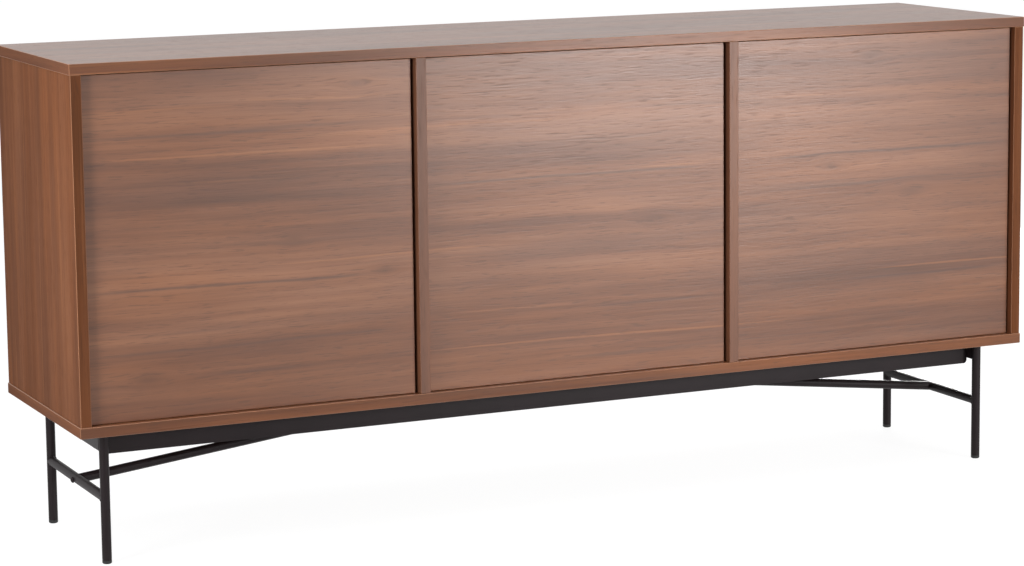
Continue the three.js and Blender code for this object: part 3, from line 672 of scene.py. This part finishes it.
def domed_head(bm, matrix, radius, height, recess, depth, shank_radius=0.0, shank_length=0.0):
    """Domed screw head above local z = 0 with a driver recess, and an optional shank below it."""
    rings = []
    for step in range(DOME_STEPS + 1):
        angle = step / DOME_STEPS * DOME_ANGLE
        rise = height * math.sin(angle) / math.sin(DOME_ANGLE)
        rings.append(ring(bm, matrix, radius * math.cos(angle), rise))
    rings.append(ring(bm, matrix, recess, height))
    rings.append(ring(bm, matrix, recess, height - depth))
    skin(bm, rings)
    cap(bm, matrix, rings[-1], height - depth, True)
    if shank_length:
        shank = [ring(bm, matrix, shank_radius, -shank_length), ring(bm, matrix, shank_radius, 0), rings[0]]
        skin(bm, shank)
        cap(bm, matrix, shank[0], -shank_length, False)
    else:
        cap(bm, matrix, rings[0], 0, False)


def pan_screw(bm, seat):
    """Head of a screw that goes up into the carcase, below its seat."""
    domed_head(bm, aimed(seat, DOWN), PAN_HEAD_RADIUS, PAN_HEAD_HEIGHT, PAN_RECESS, PAN_RECESS_DEPTH)


def small_screw(bm, seat, direction):
    """Head of a fitting's screw that stands up from its seat in a direction."""
    place = aimed(seat, direction)
    domed_head(bm, place, SMALL_HEAD_RADIUS, SMALL_HEAD_HEIGHT, SMALL_RECESS, SMALL_RECESS_DEPTH)


def make_piece(name, bm, material, body, replaced=(), crease=32):
    """Object from a mesh, smooth but for edges sharper than crease degrees, riding on a body."""
    bmesh.ops.recalc_face_normals(bm, faces=bm.faces)
    for face in bm.faces:
        face.smooth = True
    for edge in bm.edges:
        edge.smooth = len(edge.link_faces) == 2 and edge.calc_face_angle() < math.radians(crease)
    mesh = bpy.data.meshes.new(name)
    bm.to_mesh(mesh)
    bm.free()
    mesh.materials.append(material)
    piece = bpy.data.objects.new(name, mesh)
    bpy.context.scene.collection.objects.link(piece)
    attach(piece, body)
    if replaced:
        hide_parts(*replaced)


def refined(node, material, body):
    """Replaces a node by its own shape with its facets joined and its round faces smooth."""
    bm = bmesh.new()
    bm.from_mesh(NODES[node].data)
    bmesh.ops.remove_doubles(bm, verts=bm.verts, dist=MERGE_DISTANCE)
    make_piece(f"{node}_fine", bm, material, body, (node,))


# Base
def base_piece(name, bm, replaced=()):
    """Black metal piece on the carcase."""
    make_piece(name, bm, BLACK_METAL, "carcase", replaced)


def weld_arc(bm, path):
    """Rippled weld bead along a list of points."""
    previous = None
    for index, point in enumerate(path):
        before = path[max(index - 1, 0)]
        after = path[min(index + 1, len(path) - 1)]
        matrix = aimed(point, after - before)
        swell = WELD_RADIUS * (1 + WELD_RIPPLE * math.cos(index * math.pi / 2))
        current = ring(bm, matrix, swell, 0, WELD_SIDES)
        if previous is None:
            cap(bm, matrix, current, 0, False)
        else:
            skin(bm, [previous, current])
        previous = current
    cap(bm, matrix, previous, 0, True)


def stretcher_weld(leg, face, side):
    """Points of the bead where the stretcher is coped onto a leg, above it or below it."""
    points = []
    for step in range(WELD_STEPS + 1):
        angle = side * math.radians(WELD_START + (180 - 2 * WELD_START) * step / WELD_STEPS)
        rise = TUBE_RADIUS * math.sin(angle)
        x = leg.x + TUBE_RADIUS * math.cos(angle)
        points.append(Vector((x, leg.y - face * abs(rise), STRETCHER_Z + rise)))
    return points


def coped(bm, start, end, clearance=0.0, both=False):
    """Round tube whose start, or both ends, fit the side of an equal tube that crosses it; ends closed."""
    direction = Vector(end) - Vector(start)
    matrix = aimed(start, direction)

    def cope(angle):
        return TUBE_RADIUS * abs(math.sin(angle)) + clearance

    def far_end(angle):
        return direction.length - (cope(angle) if both else 0)

    rings = [ring(bm, matrix, TUBE_RADIUS, cope), ring(bm, matrix, TUBE_RADIUS, far_end)]
    skin(bm, rings)
    cap(bm, matrix, rings[0], TUBE_RADIUS + clearance, False)
    cap(bm, matrix, rings[1], far_end(math.pi / 2), True)


def dress_end_frame(end):
    """Two legs, the stretcher between them with its welds, and the crossbar."""
    node = f"end_frame_{end}"
    low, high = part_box(node)
    leg_x = (low.x + high.x) / 2
    leg_y = high.y - TUBE_RADIUS
    bm = bmesh.new()
    coped(bm, (leg_x, -leg_y, STRETCHER_Z), (leg_x, leg_y, STRETCHER_Z), both=True)
    for face in FACES.values():
        leg = Vector((leg_x, face * leg_y, 0))
        rod(bm, (leg.x, leg.y, low.z), (leg.x, leg.y, high.z), TUBE_RADIUS)
        for side in (-1, 1):
            weld_arc(bm, stretcher_weld(leg, face, side))
    bar_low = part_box(f"frame_screw_front_{end}")[0].z + SCREW_HEAD_HEIGHT
    bar_height = high.z - bar_low
    bar_reach = leg_y - TUBE_RADIUS / 2
    section = rounded_rectangle(high.x - low.x, bar_height, CROSSBAR_CORNER)
    turn = Matrix.Rotation(math.pi / 2, 4, "X")
    place = Matrix.Translation(Vector((leg_x, bar_reach, bar_low + bar_height / 2))) @ turn
    slab(bm, place, section, 2 * bar_reach, 0)
    base_piece(f"{node}_fine", bm, (node,))


def rail_section(lower, face, outside):
    """Section of a folded angle as y and z below its top face, from the lower edge to the outer face."""
    wall = RAIL_THICKNESS
    ease = PLATE_EASE
    flange = RAIL_FLANGE
    points = [
        (ease, lower), (wall - ease, lower), (wall, lower + ease), (wall, -wall),
        (flange - ease, -wall), (flange, ease - wall), (flange, -ease), (flange - ease, 0),
    ]
    for step in range(RAIL_BEND_STEPS + 1):
        angle = math.radians(90 + 90 * step / RAIL_BEND_STEPS)
        points.append((RAIL_BEND * (1 + math.cos(angle)), RAIL_BEND * (math.sin(angle) - 1)))
    points.append((0, lower + ease))
    return [(face * (outside - inward), z) for inward, z in points]


def dress_rail(face_name, face):
    """Long folded angle with rounded lower corners, and the screws through its flange."""
    node = f"rail_{face_name}"
    low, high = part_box(node)
    outside = max(abs(low.y), abs(high.y))
    half = high.x
    stations = []
    for step in range(RAIL_CORNER_STEPS + 1):
        angle = math.pi / 2 * step / RAIL_CORNER_STEPS
        stations.append((half - RAIL_CORNER * (1 - math.sin(angle)), RAIL_CORNER * (1 - math.cos(angle))))
    stations = [(-x, rise) for x, rise in reversed(stations)] + stations
    bm = bmesh.new()
    rings = []
    for x, rise in stations:
        section = rail_section(low.z - high.z + rise, face, outside)
        rings.append([bm.verts.new((x, y, high.z + z)) for y, z in section])
    skin(bm, rings)
    bm.faces.new(rings[0])
    bm.faces.new(rings[-1])
    base_piece(f"{node}_fine", bm, (node,))

    bm = bmesh.new()
    screw_y = face * (outside - (RAIL_FLANGE + RAIL_THICKNESS) / 2)
    for x in RAIL_SCREW_PLACES:
        pan_screw(bm, (x, screw_y, high.z - RAIL_THICKNESS))
    base_piece(f"rail_screws_{face_name}", bm)


def dress_brace(end, sign):
    """Round brace coped onto the stretcher, and its hanger with the weld round the tube and two screws."""
    node = f"brace_{end}"
    low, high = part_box(node)
    frame_low, frame_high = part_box(f"end_frame_{end}")
    start = Vector(((frame_low.x + frame_high.x) / 2, 0, STRETCHER_Z))
    near = min(abs(low.x), abs(high.x))
    tab_face = near + HANGER_THICKNESS
    inner = Vector((sign * tab_face, 0, high.z - BRACE_END_DROP))
    along = (inner - start).normalized()
    bm = bmesh.new()
    coped(bm, start, inner + along * HANGER_THICKNESS / 2, COPE_CLEARANCE)
    plate_middle = sign * (near + HANGER_LENGTH / 2)
    plate = rounded_rectangle(HANGER_LENGTH, HANGER_WIDTH, HANGER_CORNER)
    plate_place = Matrix.Translation(Vector((plate_middle, 0, high.z - HANGER_THICKNESS)))
    slab(bm, plate_place, plate, HANGER_THICKNESS)
    tab_height = HANGER_DROP - HANGER_THICKNESS / 2
    tab = rounded_rectangle(HANGER_TAB_WIDTH, tab_height, HANGER_CORNER)
    turn = Matrix.Rotation(math.pi / 2, 4, "Z") @ Matrix.Rotation(math.pi / 2, 4, "X")
    tab_x = sign * near if sign > 0 else sign * tab_face
    tab_place = Matrix.Translation(Vector((tab_x, 0, high.z - HANGER_DROP + tab_height / 2))) @ turn
    slab(bm, tab_place, tab, HANGER_THICKNESS)
    loop = []
    for step in range(WELD_STEPS + 1):
        angle = WELD_LOOP * step / WELD_STEPS
        loop.append(inner + TUBE_RADIUS * Vector((0, math.cos(angle), math.sin(angle))))
    weld_arc(bm, loop)
    base_piece(f"{node}_fine", bm, (node,))

    bm = bmesh.new()
    for face in FACES.values():
        x = sign * (near + HANGER_LENGTH - HANGER_HOLE_INSET)
        pan_screw(bm, (x, face * HANGER_HOLE_SPACING / 2, high.z - HANGER_THICKNESS))
    base_piece(f"hanger_screws_{end}", bm)

    bm = bmesh.new()
    seat = start - along * (TUBE_RADIUS + COPE_CLEARANCE)
    place = aimed(seat, -along)
    head = (BOLT_HEAD_RADIUS, BOLT_HEAD_HEIGHT, HEX_RECESS, HEX_DEPTH)
    domed_head(bm, place, *head, BOLT_RADIUS, BOLT_GRIP)
    base_piece(f"brace_bolt_{end}_fine", bm, (f"brace_bolt_{end}",))


def dress_foot(node):
    """Foot cap with a rounded rim, on the floor under its leg."""
    low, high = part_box(node)
    radius = (high.x - low.x) / 2
    plug = TUBE_RADIUS - TUBE_WALL
    profile = [(radius - FOOT_EASE, 0)]
    for step in range(1, FOOT_STEPS + 1):
        angle = step / FOOT_STEPS * math.pi / 2
        profile.append((radius - FOOT_EASE * (1 - math.sin(angle)), FOOT_EASE * (1 - math.cos(angle))))
    profile += [(radius, FOOT_HEIGHT - FOOT_SEAM), (radius - FOOT_SEAM, FOOT_HEIGHT), (plug, FOOT_HEIGHT)]
    profile.append((plug, high.z))
    bm = bmesh.new()
    lathe(bm, Matrix.Translation(Vector(((low.x + high.x) / 2, (low.y + high.y) / 2, 0))), profile)
    make_piece(f"{node}_fine", bm, FOOT_PLASTIC, "carcase", (node,))


def dress_frame_screw(node):
    """Domed screw up through a crossbar, with a hexagon socket."""
    low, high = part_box(node)
    radius = (high.x - low.x) / 2
    seat = low.z + SCREW_HEAD_HEIGHT
    place = aimed(((low.x + high.x) / 2, (low.y + high.y) / 2, seat), DOWN)
    bm = bmesh.new()
    domed_head(bm, place, radius, SCREW_HEAD_HEIGHT, HEX_RECESS, HEX_DEPTH, SCREW_RADIUS, high.z - seat)
    base_piece(f"{node}_fine", bm, (node,))


for end_name, end_sign in ENDS.items():
    dress_end_frame(end_name)
    dress_brace(end_name, end_sign)
    for face_name in FACES:
        dress_foot(f"foot_{face_name}_{end_name}")
        dress_frame_screw(f"frame_screw_{face_name}_{end_name}")
for face_name, face_sign in FACES.items():
    dress_rail(face_name, face_sign)


# Fittings inside the bays
def dress_hinge(bay, level, hand):
    """Cup in the door and arm on the upright, with their screws; hand is the x direction into the bay."""
    leaf = f"door_{bay}_leaf"
    cup = f"hinge_cup_{bay}_{level}"
    arm = f"hinge_arm_{bay}_{level}"
    refined(cup, NICKEL, leaf)
    refined(arm, NICKEL, "carcase")

    cup_low, cup_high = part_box(cup)
    middle = (cup_low + cup_high) / 2
    bm = bmesh.new()
    for side in (-1, 1):
        small_screw(bm, (middle.x, cup_high.y, middle.z + side * WING_SCREW_REACH), (0, 1, 0))
    make_piece(f"{cup}_screws", bm, ZINC, leaf)

    arm_low, arm_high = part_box(arm)
    upright = arm_low.x if hand > 0 else arm_high.x
    plate_y = arm_high.y - HINGE_PLATE_WIDTH
    bm = bmesh.new()
    for side in (-1, 1):
        seat = (upright + hand * HINGE_PLATE, plate_y, middle.z + side * PLATE_SCREW_REACH)
        small_screw(bm, seat, (hand, 0, 0))
    for y in (arm_high.y - ARM_SCREW_REAR, arm_high.y - ARM_SCREW_FRONT):
        seat = (upright + hand * (HINGE_PLATE + ARM_THICKNESS), y, middle.z)
        small_screw(bm, seat, (hand, 0, 0))
    make_piece(f"{arm}_screws", bm, ZINC, "carcase")


def dress_latch(bay, hand):
    """Push latch on the free-edge upright with its two screws; hand is the x direction into the bay."""
    housing = f"latch_housing_{bay}"
    refined(housing, LATCH_PLASTIC, "carcase")
    housing_low, housing_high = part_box(housing)
    middle = (housing_low + housing_high) / 2
    upright = housing_low.x if hand > 0 else housing_high.x
    bm = bmesh.new()
    for side in (-1, 1):
        seat = (upright + hand * LATCH_PLATE, middle.y, middle.z + side * LATCH_SCREW_REACH)
        small_screw(bm, seat, (hand, 0, 0))
    make_piece(f"{housing}_screws", bm, ZINC, "carcase")

    node = f"latch_plunger_{bay}"
    low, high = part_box(node)
    radius = (high.x - low.x) / 2
    length = high.y - low.y
    ease = PLUNGER_EASE
    profile = ((radius - 2 * ease, 0), (radius - ease, PLUNGER_DOME), (radius, ease), (radius, length))
    bm = bmesh.new()
    lathe(bm, aimed(((low.x + high.x) / 2, low.y, (low.z + high.z) / 2), (0, 1, 0)), profile)
    make_piece(f"{node}_fine", bm, LATCH_PLASTIC, f"plunger_{bay}", (node,))


def dress_shelf_pin(node, side):
    """Shelf pin: shank in the upright, collar against it and a peg under the shelf."""
    low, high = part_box(node)
    radius = (high.z - low.z) / 2
    face = low.x + PIN_BITE if side < 0 else high.x - PIN_BITE
    length = high.x - low.x - PIN_BITE
    ease = PIN_EASE
    shank = radius - PIN_COLLAR
    profile = (
        (shank - ease, -PIN_BITE), (shank, ease - PIN_BITE), (shank, 0), (radius - ease, 0),
        (radius, ease), (radius, length - ease), (radius - ease, length),
    )
    bm = bmesh.new()
    lathe(bm, aimed((face, (low.y + high.y) / 2, (low.z + high.z) / 2), (-side, 0, 0)), profile)
    make_piece(f"{node}_fine", bm, NICKEL, "carcase", (node,))


for bay_name in BAYS:
    for level_name in ("lower", "upper"):
        dress_hinge(bay_name, level_name, -HINGE_SIDES[bay_name])
    dress_latch(bay_name, HINGE_SIDES[bay_name])
    for row_name in FACES:
        for end_name, end_sign in ENDS.items():
            dress_shelf_pin(f"shelf_pin_{bay_name}_{row_name}_{end_name}", end_sign)


# Stage
WHITE = (1.0, 1.0, 1.0, 1.0)
AMBIENT = (0.19, 0.19, 0.195, 1.0)
FLOOR_HALF = 60.0
FLOOR_SCATTER = (0.4, 0.4, 0.4, 1.0)  # the floor as the other surfaces receive its light
FLOOR_SHADE = (0.20, 0.20, 0.20, 1.0)  # the part of the seen floor that takes shadows
FLOOR_GLOW = 0.91


def soft_box(name, place, target, width, height, power, spread=180):
    """Rectangular lamp that looks at a target; spread is in degrees."""
    data = bpy.data.lights.new(name, "AREA")
    data.shape = "RECTANGLE"
    data.size = width
    data.size_y = height
    data.energy = power
    data.spread = math.radians(spread)
    lamp = bpy.data.objects.new(name, data)
    lamp.location = place
    lamp.rotation_euler = (Vector(target) - Vector(place)).to_track_quat("-Z", "Y").to_euler()
    lamp.visible_camera = False
    bpy.context.scene.collection.objects.link(lamp)


def sky_light(name, direction, strength, spread):
    """Distant light that shines in a direction; spread is in degrees."""
    data = bpy.data.lights.new(name, "SUN")
    data.energy = strength
    data.angle = math.radians(spread)
    lamp = bpy.data.objects.new(name, data)
    lamp.rotation_euler = Vector(direction).to_track_quat("-Z", "Y").to_euler()
    bpy.context.scene.collection.objects.link(lamp)


def seen_directly(n):
    """1 for rays from the camera, a mirror or glass, and 0 for the light that surfaces scatter."""
    path = n.add("ShaderNodeLightPath").outputs
    seen = n.math("MAXIMUM", path["Is Camera Ray"], path["Is Glossy Ray"])
    return n.math("MAXIMUM", seen, path["Is Transmission Ray"])


def make_floor():
    """Wide pale floor that is white where it is seen and keeps the object's shadow."""
    bm = bmesh.new()
    corners = []
    for x, y in ((-1, -1), (1, -1), (1, 1), (-1, 1)):
        corners.append(bm.verts.new((x * FLOOR_HALF, y * FLOOR_HALF, 0)))
    bm.faces.new(corners)
    mesh = bpy.data.meshes.new("floor")
    bm.to_mesh(mesh)
    bm.free()
    floor = bpy.data.objects.new("floor", mesh)
    bpy.context.scene.collection.objects.link(floor)
    material = bpy.data.materials.new("pale_floor")
    material.use_nodes = True
    n = Nodes(material.node_tree)
    output = material.node_tree.nodes["Material Output"]
    plain = n.add("ShaderNodeBsdfDiffuse", {"Color": FLOOR_SCATTER}).outputs[0]
    shaded = n.add("ShaderNodeBsdfDiffuse", {"Color": FLOOR_SHADE}).outputs[0]
    glow = n.add("ShaderNodeEmission", {"Color": WHITE, "Strength": FLOOR_GLOW}).outputs[0]
    bright = n.add("ShaderNodeAddShader", {0: shaded, 1: glow}).outputs[0]
    mixed = n.add("ShaderNodeMixShader", {0: seen_directly(n), 1: plain, 2: bright}).outputs[0]
    n.put(output.inputs["Surface"], mixed)
    mesh.materials.append(material)


def make_world():
    """White background with a plain soft ambient light."""
    world = bpy.data.worlds.new("studio")
    bpy.context.scene.world = world
    world.use_nodes = True
    n = Nodes(world.node_tree)
    background = world.node_tree.nodes["Background"]
    n.put(background.inputs["Color"], n.mix(seen_directly(n), AMBIENT, WHITE))
    background.inputs["Strength"].default_value = 1.0


def make_camera():
    """Camera at the photograph's viewing angle."""
    forward = Vector((
        math.sin(CAMERA_YAW) * math.cos(CAMERA_PITCH),
        math.cos(CAMERA_YAW) * math.cos(CAMERA_PITCH),
        -math.sin(CAMERA_PITCH),
    ))
    level = Vector((math.cos(CAMERA_YAW), -math.sin(CAMERA_YAW), 0))
    down = forward.cross(level)
    right = level * math.cos(CAMERA_ROLL) + down * math.sin(CAMERA_ROLL)
    lower = down * math.cos(CAMERA_ROLL) - level * math.sin(CAMERA_ROLL)
    turn = Matrix((right, -lower, -forward)).transposed().to_4x4()
    data = bpy.data.cameras.new("camera")
    data.sensor_fit = "HORIZONTAL"
    data.sensor_width = SENSOR_WIDTH
    data.lens = FOCAL_PIXELS * SENSOR_WIDTH / IMAGE_WIDTH
    data.shift_y = (AXIS_ROW - IMAGE_HEIGHT / 2) / IMAGE_WIDTH
    data.clip_end = CAMERA_RANGE
    camera = bpy.data.objects.new("camera", data)
    camera.matrix_world = Matrix.Translation(CAMERA_PLACE) @ turn
    bpy.context.scene.collection.objects.link(camera)
    bpy.context.scene.camera = camera


make_floor()
make_world()
make_camera()
sky_light("top_light", direction=(0.1, 0.05, -1.0), strength=1.05, spread=60)
soft_box(
    "front_light", place=(1.9, -3.7, 1.1), target=(0.2, 0.0, 0.55),
    width=1.0, height=0.8, power=9.7, spread=48,
)
soft_box(
    "left_light", place=(-1.75, -0.65, 0.7), target=(-0.9, -0.2, 0.55),
    width=0.35, height=0.9, power=10.6,
)
soft_box(
    "back_light", place=(2.2, 2.6, 0.45), target=(0.3, 0.2, 0.45),
    width=1.2, height=0.6, power=85,
)
bpy.context.scene.view_settings.view_transform = "Standard"
